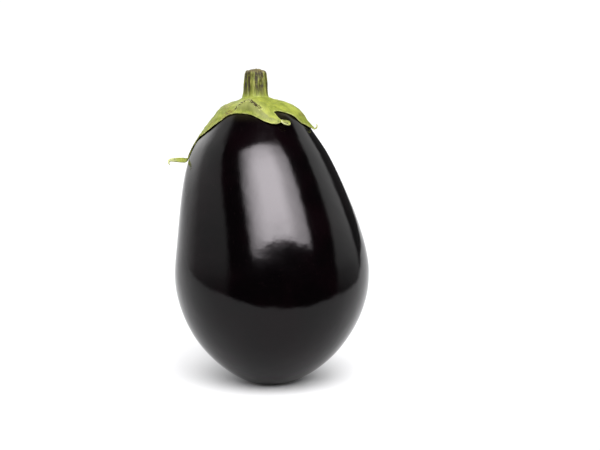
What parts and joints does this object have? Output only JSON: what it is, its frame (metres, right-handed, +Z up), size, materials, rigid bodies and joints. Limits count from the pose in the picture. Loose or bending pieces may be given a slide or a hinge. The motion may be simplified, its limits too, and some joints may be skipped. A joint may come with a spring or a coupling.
{
  "type": "eggplant",
  "caption": "Whole egg-shaped eggplant as picked, with glossy skin, a lobed calyx and a short cut stem, standing on a small flat spot at its blossom end.",
  "frame": {"origin": "centre of the small flat spot at the blossom end, where the fruit rests", "axes": "+Z up from the resting surface towards the stem, -Y towards the front, +X to the right; the fruit itself leans back by 9 degrees"},
  "size_m": [0.1059, 0.1, 0.1602],
  "materials": {
    "skin": "smooth waxy gloss, near-black purple",
    "calyx": "matt green leafy cap with fine veins, brown scuffs and a pale edge",
    "stem": "ribbed green stalk with brown streaks and a corky cut end"
  },
  "bodies": {
    "root": {"fruit": "skin", "calyx": "calyx", "stem": "stem"}
  },
  "joints": []
}
